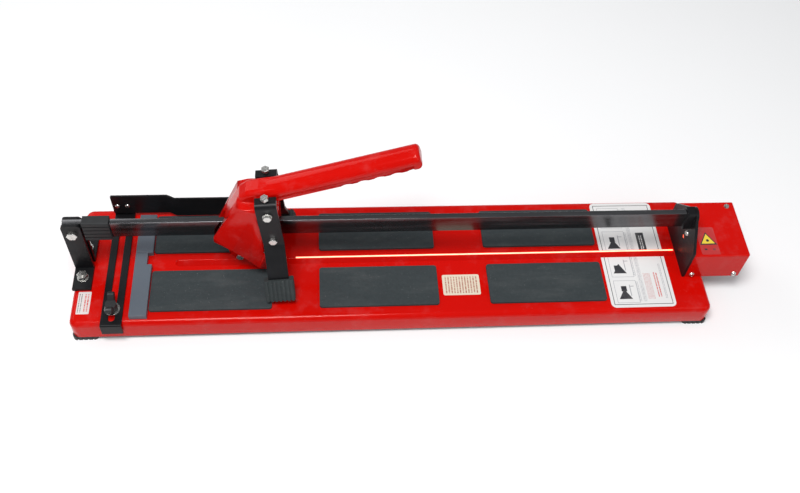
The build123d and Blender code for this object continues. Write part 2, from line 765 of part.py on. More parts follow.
def grip_plane(along=0.0, across=0.0):
    """The plane across the grip's axis: its own x runs to the back and its own y across the grip, upwards."""
    angle = radians(GRIP_ANGLE)
    x = GRIP_X + along * cos(angle) - across * sin(angle)
    z = GRIP_Z + along * sin(angle) + across * cos(angle)
    return plane(x, 0, z, right=(0, 1, 0), out=(cos(angle), 0, sin(angle)))


def make_grip():
    """The long grip: a rounded bar with finger grooves below and a pocket along its underside."""
    start, length = -GRIP_BACK, GRIP_BACK + GRIP_AHEAD
    half = GRIP_TALL / 2
    groove_lift = GROOVE_RADIUS - GROOVE_DEPTH
    with BuildPart() as grip:
        with BuildSketch(grip_plane(start)):
            RectangleRounded(GRIP_WIDE, GRIP_TALL, 3)
            with Locations((0, half - GRIP_CROWN / 2)):
                Rectangle(GRIP_WIDE, GRIP_CROWN, mode=Mode.SUBTRACT)
            with Locations((0, half - GRIP_CROWN)):
                Ellipse(GRIP_WIDE / 2, GRIP_CROWN)
        extrude(amount=length)
        fillet(grip.faces().sort_by(Axis.X)[-1].edges(), GRIP_TIP)
        with BuildSketch(grip_plane(start, -half)):
            with Locations((-GRIP_WIDE / 2, 0), (GRIP_WIDE / 2, 0)):
                Rectangle(2 * GRIP_STEP, 2 * GRIP_STEP_TALL)
        extrude(amount=length - GRIP_TALL / 2, mode=Mode.SUBTRACT)
        for groove in range(GROOVE_COUNT):
            along = GRIP_AHEAD - 14 - groove * GROOVE_PITCH
            centre = grip_plane(along, -half - groove_lift).origin
            side = Plane(origin=(centre.X, BED_Y - GRIP_WIDE, centre.Z), x_dir=(1, 0, 0), z_dir=(0, -1, 0))
            with BuildSketch(side):
                Circle(GROOVE_RADIUS)
            extrude(amount=-2 * GRIP_WIDE, mode=Mode.SUBTRACT)
        with BuildSketch(grip_plane(start, -half)):
            with Locations((0, 3)):
                Rectangle(14, 22)
        extrude(amount=length - 12, mode=Mode.SUBTRACT)
    return grip


def plan_outline(tip_half, head_half):
    """Half of the head's outline seen from above, from its narrow left tip to its full width and back."""
    return [
        (HEAD_TIP - 1, 0),
        (HEAD_TIP - 1, tip_half),
        (-193, head_half),
        (-150, head_half),
        (-150, 0),
    ]


def make_handle_casting():
    """The head and grip in one casting: two cheeks astride the rail, joined above it by a web and below
    it by the wheel's nose, with bosses for the rollers' axles."""
    right = -161.0
    grip = make_grip()
    with BuildPart() as handle_casting:
        with BuildSketch(facing_front()) as outline:
            Polygon(
                (HEAD_TIP, 66),
                (HEAD_TIP, 74),
                (-211, 162),
                (-202, 170),
                (-186, 174),
                (right + 10, 180),
                (right + 10, 164),
                (right, 155),
                (right, 26),
                (-180, 24),
                (-193, 25),
                (-207, 38),
                (-228, 53),
                align=None,
            )
            fillet(outline.vertices(), 3)
        extrude(amount=HEAD_HALF, both=True)
        with BuildSketch(plane()):
            for flip in (1, -1):
                Polygon(*[(x, flip * y) for x, y in plan_outline(TIP_HALF, HEAD_HALF)], align=None)
        extrude(amount=2 * LEDGE_Z, mode=Mode.INTERSECT)
        with BuildSketch(plane(z=LEDGE_Z)):
            Rectangle(900, 4 * HEAD_HALF)
            Rectangle(900, 2 * NECK_HALF, mode=Mode.SUBTRACT)
        extrude(amount=LEDGE_Z, mode=Mode.SUBTRACT)
        shoulders = handle_casting.faces().filter_by(Axis.Z).filter_by_position(
            Axis.Z, BED_TOP + LEDGE_Z - 1, BED_TOP + LEDGE_Z + 1
        )
        fillet([face.edges().sort_by(lambda e: abs(e.center().Y - BED_Y))[-1] for face in shoulders], 4)
        neck = [e for e in handle_casting.edges() if abs(abs(e.center().Y - BED_Y) - NECK_HALF) < 0.1]
        along_neck = [e for e in neck if abs(e.tangent_at(0.5).Y) < 0.1]
        fillet([e for e in along_neck if e.center().Z > BED_TOP + NECK_CREST], NECK_HALF / 2)
        with BuildSketch(plane(z=0)):
            for flip in (1, -1):
                Polygon(*[(x, flip * y) for x, y in plan_outline(TIP_INNER, CHEEK_INNER)], align=None)
        extrude(amount=106, mode=Mode.SUBTRACT)
        with BuildSketch(facing_front()):
            Polygon(
                (HEAD_TIP - 10, RAIL_TOP),
                (-241, AXLE_Z + 1),
                (-230, AXLE_Z + 2),
                (-207, LEDGE_Z + 2),
                (right - 2, LEDGE_Z + 2),
                (right + 20, 120),
                (right + 20, RAIL_TOP),
                align=None,
            )
        extrude(amount=SLOT_HALF, both=True, mode=Mode.SUBTRACT)
        with BuildSketch(plane(z=105)):
            with Locations(((-214 + right) / 2, 0)):
                Rectangle(right + 214, 30)
        extrude(amount=LEDGE_Z - 6 - 105, mode=Mode.SUBTRACT)
        for y in (BOSS_INNER, -CHEEK_INNER):
            for z, radius in ((AXLE_Z, 8), (LOW_AXLE_Z, 6)):
                with BuildSketch(facing_back(AXLE_X, y, z)):
                    Circle(radius)
                extrude(amount=CHEEK_INNER - BOSS_INNER)
        with BuildSketch(facing_front()):
            Polygon((-230, 60), (-207, 42), (-196, 32), (-196, 56), (-226, 61), align=None)
        extrude(amount=CHEEK_INNER - 1, both=True)
        with BuildSketch(facing_front()) as nose:
            Polygon(
                (-238, 54),
                (-232, 28),
                (-224, 16.5),
                (-213, 16.5),
                (-204, 24),
                (-196, 36),
                (-196, 54),
                align=None,
            )
            fillet(nose.vertices(), 3)
        extrude(amount=BOSS_INNER, both=True)
        with BuildSketch(facing_front(WHEEL_X, 0, WHEEL_Z)):
            Circle(WHEEL_RADIUS + 1.4)
        extrude(amount=WHEEL_THICK / 2 + HOLE_GAP, both=True, mode=Mode.SUBTRACT)
        add(grip.part)
        for x, z, radius in HEAD_HOLES:
            with BuildSketch(facing_front(x, 0, z)):
                Circle(radius)
            extrude(amount=HEAD_HALF, both=True, mode=Mode.SUBTRACT)
    return handle_casting


def make_roller(height, groove, bore):
    """A rail roller: a drum between two flanges, turned about the axle at that height."""
    flange = groove + ROLLER_FLANGE
    with BuildPart() as roller:
        with BuildSketch(facing_right(AXLE_X, 0, height)):
            Polygon(
                (-ROLLER_HALF, bore),
                (-ROLLER_HALF, flange - 0.5),
                (-ROLLER_HALF + 0.5, flange),
                (-ROLLER_GROOVE, flange),
                (-ROLLER_GROOVE, groove),
                (ROLLER_GROOVE, groove),
                (ROLLER_GROOVE, flange),
                (ROLLER_HALF - 0.5, flange),
                (ROLLER_HALF, flange - 0.5),
                (ROLLER_HALF, bore),
                align=None,
            )
        revolve(axis=Axis(facing_right(AXLE_X, 0, height).origin, (0, 1, 0)))
    return roller


def make_cutting_wheel():
    """The scoring wheel: a thin hardened disc with a V edge and a bore for its axle bolt."""
    half = WHEEL_THICK / 2
    hub = 6.5
    with BuildPart() as cutting_wheel:
        with BuildSketch(facing_right(WHEEL_X, 0, WHEEL_Z)):
            Polygon(
                (-half, WHEEL_AXLE + RUNNING),
                (-half, hub),
                (-1, hub + 0.6),
                (-1, WHEEL_RADIUS - 1.7),
                (-0.1, WHEEL_RADIUS),
                (0.1, WHEEL_RADIUS),
                (1, WHEEL_RADIUS - 1.7),
                (1, hub + 0.6),
                (half, hub),
                (half, WHEEL_AXLE + RUNNING),
                align=None,
            )
        revolve(axis=Axis(facing_right(WHEEL_X, 0, WHEEL_Z).origin, (0, 1, 0)))
    return cutting_wheel


def splay_point(along, out):
    """A point beside the splayed part of an arm, in the arm plane: along it from the kink, and out of it."""
    angle = radians(ARM_SPLAY)
    return (ARM_MID + along * sin(angle) + out * cos(angle), ARM_KINK - along * cos(angle) + out * sin(angle))


def make_breaker_arm(side):
    """A flat bar with an inward tab on top, upright beside the head and splayed out below it."""
    with BuildPart() as breaker_arm:
        with BuildSketch(arm_plane(side)):
            with BuildLine():
                FilletPolyline(
                    (ARM_TAB, ARM_TOP), (ARM_MID, ARM_TOP), (ARM_MID, ARM_KINK), splay_point(ARM_END, 0),
                    radius=ARM_BEND,
                )
            trace(line_width=ARM_SHEET)
        extrude(amount=ARM_WIDE / 2, both=True)
        with BuildSketch(facing_front(*bolt_place(0))):
            Circle(M6[0] + HOLE_GAP)
        extrude(amount=2 * ARM_MID, both=True, mode=Mode.SUBTRACT)
        with BuildSketch(facing_front(*bolt_place(BOLT_B))):
            Circle(M6[0] + HOLE_GAP)
        extrude(amount=2 * ARM_MID, both=True, mode=Mode.SUBTRACT)
        with BuildSketch(screw_plane(side)):
            Circle(M6[0])
        extrude(amount=-SCREW_LONG, mode=Mode.SUBTRACT)
    return breaker_arm


def level_point(out):
    """The point at that distance out of an arm where its rubber foot ends, level with the bed."""
    angle = radians(ARM_SPLAY)
    along = (ARM_KINK + out * sin(angle) + BOLT_A_Z - PAD_BOTTOM) / cos(angle)
    return splay_point(along, out)


def make_breaker_foot(side):
    """The ribbed rubber pad on an arm's lower end, cut level below."""
    half = PAD_THICK / 2
    pitch = 2 * PAD_HALF / RIB_COUNT
    arm = make_breaker_arm(side)
    with BuildPart() as breaker_foot:
        with BuildSketch(arm_plane(side)):
            Polygon(
                splay_point(PAD_START, -half + RIB_DEPTH),
                splay_point(PAD_START, half - RIB_DEPTH),
                level_point(half - RIB_DEPTH),
                level_point(-half + RIB_DEPTH),
                align=None,
            )
        extrude(amount=PAD_HALF, both=True)
        for rib in range(RIB_COUNT):
            place = -PAD_HALF + rib * pitch + 0.2 * pitch
            with BuildSketch(arm_plane(side).offset(place)):
                Polygon(
                    splay_point(PAD_START, -half),
                    splay_point(PAD_START, half),
                    level_point(half),
                    level_point(-half),
                    align=None,
                )
            extrude(amount=0.6 * pitch)
        add(arm.part, mode=Mode.SUBTRACT)
    return breaker_foot


def write_bed():
    """The bed and what is fixed to it."""
    write(make_bed_plate(), "bed_plate")
    write(make_ridge(), "breaking_ridge")
    for end, x_side in ENDS.items():
        for side, y_side in SIDES.items():
            write(make_foot(x_side, y_side), f"rubber_foot_{side}_{end}")
    for side, y_side in SIDES.items():
        for place, x in PAD_X.items():
            write(make_pad(x, y_side), f"bed_pad_{side}_{place}")
    write(make_fence(FENCE_FRONT, FENCE_SEAM, -FENCE_NOTCH), "tile_fence_front")
    write(make_fence(FENCE_SEAM, FENCE_BACK, None), "tile_fence_rear")
    write(make_labels(), "labels")


def write_rail():
    """The rail, its brackets on the left and its support on the right, with their fasteners."""
    write(make_rail(), "rail")
    write(make_rail_buffer(), "rail_buffer")
    for side, y_side in SIDES.items():
        write(make_left_bracket(y_side), f"left_bracket_{side}")
    write(make_end_support(), "end_support")
    bolt_long = 2 * BRACKET_FACE + 9
    write(hex_bolts([facing_front(BRACKET_X, -BRACKET_FACE, BRACKET_BOLT_Z)], M8, bolt_long), "rail_bolt")
    write(nuts([facing_back(BRACKET_X, BRACKET_FACE, BRACKET_BOLT_Z)], M8, 6.5), "rail_nut")
    feet = [y_side * BRACKET_NUT_Y for y_side in SIDES.values()]
    washer_top = BRACKET_PLATE + WASHER_THICK
    write(hex_bolts([facing_down(BRACKET_X, y, -SHEET) for y in feet], M8, washer_top + 11), "bracket_bolts")
    write(rings([plane(BRACKET_X, y, BRACKET_PLATE) for y in feet], M8[0], 8, WASHER_THICK), "bracket_washers")
    write(nuts([plane(BRACKET_X, y, washer_top) for y in feet], M8, 6.5), "bracket_nuts")
    seats = [plane(x, y, SUPPORT_PLATE) for x, y in SUPPORT_BOLTS]
    write(hex_bolts(seats, M6, SUPPORT_PLATE + SHEET + 7), "support_bolts")
    write(nuts([facing_down(x, y, -SHEET) for x, y in SUPPORT_BOLTS], M6, 5), "support_nuts")


def write_laser():
    """The laser box and what it holds."""
    write(make_laser_cover(), "laser_cover")
    write(make_laser_module(), "laser_module")
    write(make_laser_clamp(), "laser_clamp")
    write(pins([facing_right(RAIL_RIGHT + 1, 0, LASER_Z)], APERTURE - RUNNING, 1.6), "laser_lens")
    write(make_battery_holder(), "battery_holder")
    write(make_batteries(), "batteries")
    write(make_switch_housing(), "switch_housing")
    write(make_laser_switch(), "laser_switch")
    write(make_cover_screws(), "cover_screws")


def write_width_stop():
    """The sliding width stop and its clamp."""
    write(make_stop_arm(), "stop_arm")
    write(make_stop_guide(), "stop_guide")
    write(make_stop_rivets(), "stop_rivets")
    write(make_wing_knob(), "wing_knob")
    stud_low = -12.0
    stud_long = STOP_SHEET + WASHER_THICK + 10 - stud_low
    write(pins([plane(STOP_X, KNOB_Y, stud_low)], STUD_RADIUS, stud_long), "clamp_stud")
    write(rings([plane(STOP_X, KNOB_Y, STOP_SHEET)], STUD_RADIUS, 10.5, WASHER_THICK), "clamp_washer")
    write(make_weld_nut(), "weld_nut")


def write_head():
    """The carriage axle, the head that tilts on it, and what the head carries."""
    reach = HEAD_HALF - 0.5
    write(pins([facing_back(AXLE_X, -reach, AXLE_Z)], AXLE_RADIUS, 2 * reach), "carriage_axle")
    write(make_roller(AXLE_Z, TOP_ROLLER, AXLE_RADIUS + RUNNING), "top_roller")
    write(make_handle_casting(), "handle_casting")
    write(pins([facing_back(AXLE_X, -reach, LOW_AXLE_Z)], LOW_AXLE_RADIUS, 2 * reach), "lower_axle")
    write(make_roller(LOW_AXLE_Z, LOW_ROLLER, LOW_AXLE_RADIUS + RUNNING), "lower_roller")
    write(make_cutting_wheel(), "cutting_wheel")
    wheel_face = facing_front(WHEEL_X, -BOSS_INNER, WHEEL_Z)
    write(hex_bolts([wheel_face], WHEEL_BOLT, 2 * BOSS_INNER + 6), "wheel_bolt")
    write(nuts([facing_back(WHEEL_X, BOSS_INNER, WHEEL_Z)], WHEEL_BOLT, 4), "wheel_nut")
    for side, y_side in SIDES.items():
        write(make_breaker_arm(y_side), f"breaker_arm_{side}")
        write(make_breaker_foot(y_side), f"breaker_foot_{side}")
    outer = HEAD_HALF + ARM_SHEET
    through = [facing_front(PIVOT_X, -outer - WASHER_THICK, BOLT_A_Z)]
    write(hex_bolts(through, M6, 2 * (outer + WASHER_THICK) + 6), "pivot_bolt")
    faces = [facing_front(PIVOT_X, -outer, BOLT_A_Z), facing_back(PIVOT_X, outer, BOLT_A_Z)]
    write(rings(faces, M6[0], 6.3, WASHER_THICK), "pivot_washers")
    write(nuts([facing_back(PIVOT_X, outer + WASHER_THICK, BOLT_A_Z)], M6, 5), "pivot_nut")
    x, _, z = bolt_place(BOLT_B)
    write(hex_bolts([facing_front(x, -outer, z), facing_back(x, outer, z)], M6, 15), "arm_bolts")
    write(hex_bolts([screw_plane(side) for side in SIDES.values()], M6, SCREW_LONG), "adjusting_screws")


def main():
    os.makedirs("parts", exist_ok=True)
    write_bed()
    write_rail()
    write_laser()
    write_width_stop()
    write_head()


main()
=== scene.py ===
"""The looks of a manual tile cutter with a laser guide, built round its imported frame."""

import math

import bpy
from mathutils import Euler, Matrix, Vector


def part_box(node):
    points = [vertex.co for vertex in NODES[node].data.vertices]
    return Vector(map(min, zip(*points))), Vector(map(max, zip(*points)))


bl_info = {
    "name": "Tile Cutter Looks",
    "version": (1, 0, 0),
    "blender": (4, 5, 0),
    "location": "View3D > Sidebar > Tile Cutter",
    "description": "Finishes, label prints, laser line and studio for a manual tile cutter",
    "category": "Object",
}

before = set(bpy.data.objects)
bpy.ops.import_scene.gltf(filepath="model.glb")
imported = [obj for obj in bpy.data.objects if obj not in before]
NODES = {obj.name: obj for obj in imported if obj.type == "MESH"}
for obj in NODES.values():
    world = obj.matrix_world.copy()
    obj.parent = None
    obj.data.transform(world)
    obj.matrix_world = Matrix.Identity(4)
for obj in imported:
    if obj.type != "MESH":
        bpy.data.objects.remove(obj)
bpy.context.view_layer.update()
MM = 0.001

# Where the label films lie along X, in metres, and how far above the bed's own the box's lies
GUIDE_FROM = 0.25
GUIDE_TO = 0.385
NOTICE_FROM = 0.0
BOX_ABOVE = 5 * MM

# The line of light: half its width, how high it floats, and how bright it and the lens shine
LINE_HALF = 1.5 * MM
LINE_LIFT = 0.15 * MM
LINE_GLOW = 1.1
LENS_GLOW = 1.6

# Edges that turn more sharply than the angle are eased, and corners nearer than the distance are joined
EASED_ANGLE = math.radians(34)
JOIN_DISTANCE = 0.001 * MM

# Lights: name, place, width in metres and share of the key light's power
LIGHTS = (
    ("key", (-0.4, -0.6, 2.2), 0.8, 1.0),
    ("fill", (1.9, -1.4, 1.6), 1.6, 0.25),
    ("rim", (-1.6, 1.7, 1.5), 1.4, 0.3),
)
LIT_POINT = Vector((0.0, 0.0, 0.05))
SKY = (0.9, 0.92, 0.95, 1)
NEAR, FAR = 0.05, 60.0


# Shader expressions


class Signal:
    """A number that changes over a surface: sums written on it become Math nodes."""

    def __init__(self, finish, socket):
        self.finish = finish
        self.socket = socket

    def _math(self, operation, first, second=0.0):
        return self.finish.node("ShaderNodeMath", {"operation": operation}, {0: first, 1: second})

    def __add__(self, other):
        return self._math("ADD", self, other)

    __radd__ = __add__

    def __sub__(self, other):
        return self._math("SUBTRACT", self, other)

    def __rsub__(self, other):
        return self._math("SUBTRACT", other, self)

    def __mul__(self, other):
        return self._math("MULTIPLY", self, other)

    __rmul__ = __mul__

    def __truediv__(self, other):
        return self._math("DIVIDE", self, other)

    def __pow__(self, other):
        return self._math("POWER", self, other)

    def __mod__(self, other):
        return self._math("FLOORED_MODULO", self, other)

    def __gt__(self, other):
        return self._math("GREATER_THAN", self, other)

    def __lt__(self, other):
        return self._math("LESS_THAN", self, other)

    def __abs__(self):
        return self._math("ABSOLUTE", self)

    def ramp(self, low, high, to_low=0.0, to_high=1.0):
        """Runs smoothly from to_low, where this is low, to to_high, where it is high."""
        settings = {"interpolation_type": "SMOOTHSTEP"}
        sockets = {
            "Value": self,
            "From Min": low,
            "From Max": high,
            "To Min": to_low,
            "To Max": to_high,
        }
        return self.finish.node("ShaderNodeMapRange", settings, sockets)


class Finish:
    """One material: its nodes, and the few textures that the finishes share."""

    def __init__(self, name):
        self.material = bpy.data.materials.new(name)
        self.material.use_nodes = True
        self.tree = self.material.node_tree
        self.tree.nodes.clear()
        self.place = self.node("ShaderNodeTexCoord", out="Object")

    def node(self, kind, settings=None, sockets=None, out=0):
        """Adds a node, sets it up, fills or links its sockets and hands back one of its outputs."""
        made = self.tree.nodes.new(kind)
        for name, value in (settings or {}).items():
            setattr(made, name, value)
        for key, value in (sockets or {}).items():
            if isinstance(value, Signal):
                self.tree.links.new(value.socket, made.inputs[key])
            else:
                made.inputs[key].default_value = value
        return Signal(self, made.outputs[out])

    def axis(self, letter):
        """The place's x, y or z, in metres."""
        return self.node("ShaderNodeSeparateXYZ", sockets={0: self.place}, out=letter)

    def stretched(self, along, across, up):
        """The place scaled by a number on each axis."""
        settings = {"vector_type": "POINT"}
        sockets = {"Vector": self.place, "Scale": (along, across, up)}
        return self.node("ShaderNodeMapping", settings, sockets)

    def noise(self, scale, detail=2.0, rough=0.5, place=None):
        """Soft noise from 0 to 1, with so many blotches to the metre."""
        sockets = {
            "Vector": place or self.place,
            "Scale": scale,
            "Detail": detail,
            "Roughness": rough,
        }
        return self.node("ShaderNodeTexNoise", sockets=sockets, out="Fac")

    def cells(self, scale, out="Color"):
        """Cells, so many to the metre: a colour for each, or the distance to its middle."""
        sockets = {"Vector": self.place, "Scale": scale}
        return self.node("ShaderNodeTexVoronoi", sockets=sockets, out=out)

    def blend(self, share, first, second):
        """A colour between two, by the share of the second."""
        settings = {"data_type": "RGBA"}
        sockets = {0: share, 6: first, 7: second}
        return self.node("ShaderNodeMix", settings, sockets, out=2)

    def bump(self, height, strength, distance):
        """A normal that follows a height, of so many metres at most."""
        sockets = {"Strength": strength, "Distance": distance, "Height": height}
        return self.node("ShaderNodeBump", sockets=sockets)

    def surface(self, **sockets):
        """Closes the material with one Principled surface, sockets named with underscores."""
        spaced = {key.replace("_", " "): value for key, value in sockets.items()}
        shader = self.node("ShaderNodeBsdfPrincipled", sockets=spaced)
        output = self.tree.nodes.new("ShaderNodeOutputMaterial")
        self.tree.links.new(shader.socket, output.inputs["Surface"])
        return self.material


def rgba(colour, share=1.0):
    """A colour for a socket, darkened or lightened by a share."""
    return (*[channel * share for channel in colour[:3]], 1.0)


# Finishes

ENAMEL_DUST = (0.75, 0.68, 0.63, 1)
NICK = (0.32, 0.31, 0.3, 1)
RUST_PIT = (0.12, 0.08, 0.06, 1)
PRINT_SCUFF = (0.45, 0.4, 0.38, 1)
LINE_CORE = (1.0, 0.74, 0.5, 1)
WARM_SHINE = (1.0, 0.55, 0.5)


def enamel(name, colour, gloss_roughness):
    """Baked gloss enamel: slight orange peel, soft tone drift, handling haze and fine tile dust."""
    finish = Finish(name)
    drift = finish.noise(5.0, 3.0)
    haze = finish.noise(38.0, 6.0, 0.65).ramp(0.5, 0.72)
    dust = finish.noise(2400.0, 1.0).ramp(0.74, 0.79) * finish.noise(26.0, 2.0).ramp(0.48, 0.62)
    hairs = finish.noise(1.0, 2.0, place=finish.stretched(25, 900, 900)).ramp(0.68, 0.74)
    tone = finish.blend(drift, rgba(colour, 0.86), rgba(colour, 1.1))
    worn = finish.blend(haze * 0.05, tone, rgba([0.5 + 0.4 * c for c in colour], 0.6))
    dusty = finish.blend(dust * 0.55, worn, ENAMEL_DUST)
    peel = finish.noise(620.0, 1.5) * 0.7 + finish.noise(90.0, 2.0) * 0.5 - hairs * 0.12
    return finish.surface(
        Base_Color=dusty,
        Roughness=haze * 0.05 + hairs * 0.08 + dust * 0.3 + gloss_roughness,
        Coat_Weight=(1 - dust) * 0.08,
        Coat_Roughness=0.06,
        Specular_IOR_Level=0.15,
        Specular_Tint=rgba(WARM_SHINE),
        Normal=finish.bump(peel, 0.22, 0.12 * MM),
    )


def powder_coat(name, colour):
    """Black powder coat: fine leathery texture, a grey bloom from handling and small nicks."""
    finish = Finish(name)
    bloom = finish.noise(22.0, 5.0, 0.6).ramp(0.46, 0.72)
    nicked_areas = finish.noise(45.0, 2.0).ramp(0.5, 0.66)
    nicks = finish.noise(420.0, 3.0, 0.7).ramp(0.72, 0.76) * nicked_areas
    tone = finish.blend(bloom * 0.4, rgba(colour), rgba(colour, 2.2))
    nicked = finish.blend(nicks * 0.6, tone, NICK)
    grain = finish.noise(1500.0, 2.0) + finish.cells(1100.0, "Distance") * 0.4 - nicks * 0.8
    return finish.surface(
        Base_Color=nicked,
        Roughness=bloom * 0.16 + nicks * 0.15 + 0.34,
        Coat_Weight=(1 - nicks) * 0.02,
        Coat_Roughness=0.3,
        Specular_IOR_Level=0.17,
        Normal=finish.bump(grain, 0.3, 0.12 * MM),
    )


def sheet_rubber(name, colour, dust_colour):
    """Cut sheet rubber: open grain, a dusty wipe along it, short scuffs and pale tile dust."""
    finish = Finish(name)
    wipe = finish.noise(1.0, 4.0, 0.6, finish.stretched(16, 60, 60)).ramp(0.42, 0.75)
    specks = finish.noise(900.0, 2.0).ramp(0.72, 0.77)
    scuffs = finish.noise(1.0, 3.0, place=finish.stretched(120, 900, 900)).ramp(0.66, 0.76)
    mottle = finish.noise(240.0, 4.0, 0.7)
    tone = finish.blend(mottle, rgba(colour, 0.78), rgba(colour, 1.22))
    wiped = finish.blend(wipe * 0.07 + scuffs * 0.1, tone, rgba(dust_colour, 0.4))
    dusty = finish.blend(specks * 0.5, wiped, rgba(dust_colour))
    grain = finish.noise(1300.0, 4.0, 0.7) + finish.cells(520.0, "Distance") * 0.5 - scuffs * 0.5
    return finish.surface(
        Base_Color=dusty,
        Roughness=0.9 - wipe * 0.12 - mottle * 0.08,
        Specular_IOR_Level=0.2,
        Normal=finish.bump(grain, 0.45, 0.25 * MM),
    )


def moulded_rubber(name, colour):
    """Moulded black rubber: faint flow lines, a chalky bloom and fine pits."""
    finish = Finish(name)
    bloom = finish.noise(70.0, 5.0, 0.65).ramp(0.45, 0.78)
    flow = finish.noise(1.0, 2.0, place=finish.stretched(60, 60, 420))
    tone = finish.blend(bloom * 0.45, rgba(colour), rgba(colour, 3.2))
    grain = finish.noise(1700.0, 3.0) + flow * 0.4
    return finish.surface(
        Base_Color=tone,
        Roughness=bloom * 0.2 + 0.56,
        Specular_IOR_Level=0.4,
        Normal=finish.bump(grain, 0.35, 0.16 * MM),
    )


def rail_metal(name, colour):
    """The drawn and plated rail: die lines along it, fine runner marks and a few rusty pits."""
    finish = Finish(name)
    lines = finish.noise(1.0, 3.0, 0.6, finish.stretched(2.2, 1400, 1400))
    wear = finish.noise(1.0, 4.0, 0.6, finish.stretched(9, 130, 130)).ramp(0.4, 0.75)
    pits = finish.noise(700.0, 3.0, 0.7).ramp(0.72, 0.78) * finish.noise(12.0, 2.0).ramp(0.5, 0.68)
    tone = finish.blend(wear * 0.7, rgba(colour), rgba(colour, 1.5))
    pitted = finish.blend(pits * 0.7, tone, RUST_PIT)
    return finish.surface(
        Base_Color=pitted,
        Metallic=1 - pits * 0.6,
        Roughness=lines * 0.1 + wear * 0.1 + pits * 0.3 + 0.1,
        Normal=finish.bump(lines - pits * 0.5, 0.12, 0.05 * MM),
    )


def plated_steel(name, colour):
    """Bright zinc plate: a fine crystal tone, spanner scuffs and darker grease in places."""
    finish = Finish(name)
    crystal = finish.node("ShaderNodeRGBToBW", sockets={0: finish.cells(900.0)})
    grease = finish.noise(160.0, 4.0, 0.6).ramp(0.52, 0.75)
    scratch = finish.noise(1.0, 2.0, place=finish.stretched(300, 1800, 1800)).ramp(0.6, 0.72)
    tone = finish.blend(crystal * 0.5, rgba(colour, 0.82), rgba(colour, 1.08))
    greasy = finish.blend(grease * 0.5, tone, rgba(colour, 0.35))
    return finish.surface(
        Base_Color=greasy,
        Metallic=1.0,
        Roughness=crystal * 0.12 + grease * 0.16 + scratch * 0.1 + 0.18,
        Normal=finish.bump(finish.noise(1100.0, 3.0) - scratch * 0.6, 0.18, 0.08 * MM),
    )


# The tool rings' spacing in millimetres, on end faces and along the axle
RING_OUT = 0.35
RING_ALONG = 0.3


def turned_steel(name, colour, axle):
    """Turned steel about an axle that lies across the cutter: fine tool rings round that axle."""
    finish = Finish(name)
    out_x, out_z = finish.axis("X") - axle.x, finish.axis("Z") - axle.z
    radius = (out_x * out_x + out_z * out_z) ** 0.5
    rings = radius / (RING_OUT * MM) + finish.axis("Y") / (RING_ALONG * MM)
    groove = abs(rings % 1.0 - 0.5)
    oil = finish.noise(120.0, 4.0).ramp(0.45, 0.75)
    tone = finish.blend(oil * 0.6, rgba(colour), rgba(colour, 0.45))
    return finish.surface(
        Base_Color=tone,
        Metallic=1.0,
        Roughness=groove * 0.16 + oil * 0.12 + 0.2,
        Normal=finish.bump(groove, 0.2, 0.06 * MM),
    )


def moulded_plastic(name, colour):
    """Spark-textured moulded plastic with a little shine on what fingers touch."""
    finish = Finish(name)
    touched = finish.noise(55.0, 3.0).ramp(0.42, 0.7)
    texture = finish.noise(1900.0, 2.0) + finish.cells(1400.0, "Distance") * 0.5
    tone = finish.blend(touched * 0.4, rgba(colour), rgba(colour, 2.2))
    return finish.surface(
        Base_Color=tone,
        Roughness=0.55 - touched * 0.16,
        Normal=finish.bump(texture, 0.3, 0.1 * MM),
    )


def brass(name, colour):
    """Turned brass, a little tarnished."""
    finish = Finish(name)
    tarnish = finish.noise(180.0, 5.0, 0.6).ramp(0.4, 0.8)
    tone = finish.blend(tarnish * 0.6, rgba(colour), rgba(colour, 0.4))
    rings = finish.noise(1.0, 1.0, place=finish.stretched(2600, 30, 30))
    return finish.surface(
        Base_Color=tone,
        Metallic=1.0,
        Roughness=tarnish * 0.2 + 0.24,
        Normal=finish.bump(rings, 0.15, 0.05 * MM),
    )


def lit_lens(name, colour):
    """The laser's lens while it is on."""
    finish = Finish(name)
    ripple = finish.noise(900.0, 1.0)
    glow = finish.blend(ripple, rgba(colour), rgba(colour, 0.7))
    return finish.surface(
        Base_Color=glow,
        Roughness=ripple * 0.06 + 0.05,
        Emission_Color=glow,
        Emission_Strength=LENS_GLOW,
    )


# The cells' band: how far along them it starts, and its colour
BAND_START = 0.7
BAND_COLOUR = (0.35, 0.2, 0.08, 1)


def wrapped_cell(name, colour):
    """The cells' plastic jacket, with a dark band at one end."""
    finish = Finish(name)
    scuff = finish.noise(300.0, 4.0).ramp(0.45, 0.75)
    low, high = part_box("batteries")
    band = finish.axis("X") > low.x + (high.x - low.x) * BAND_START
    tone = finish.blend(band, rgba(colour), BAND_COLOUR)
    return finish.surface(
        Base_Color=finish.blend(scuff * 0.3, tone, rgba(colour, 0.5)),
        Roughness=scuff * 0.2 + 0.3,
        Normal=finish.bump(scuff, 0.1, 0.05 * MM),
    )


# Label prints

# Half of a row's share that is inked, how closely marks follow one another, and how many are left out
DASH_HALF = 0.24
DASHES_PER_MM = 0.8
DASH_GAPS = 0.47


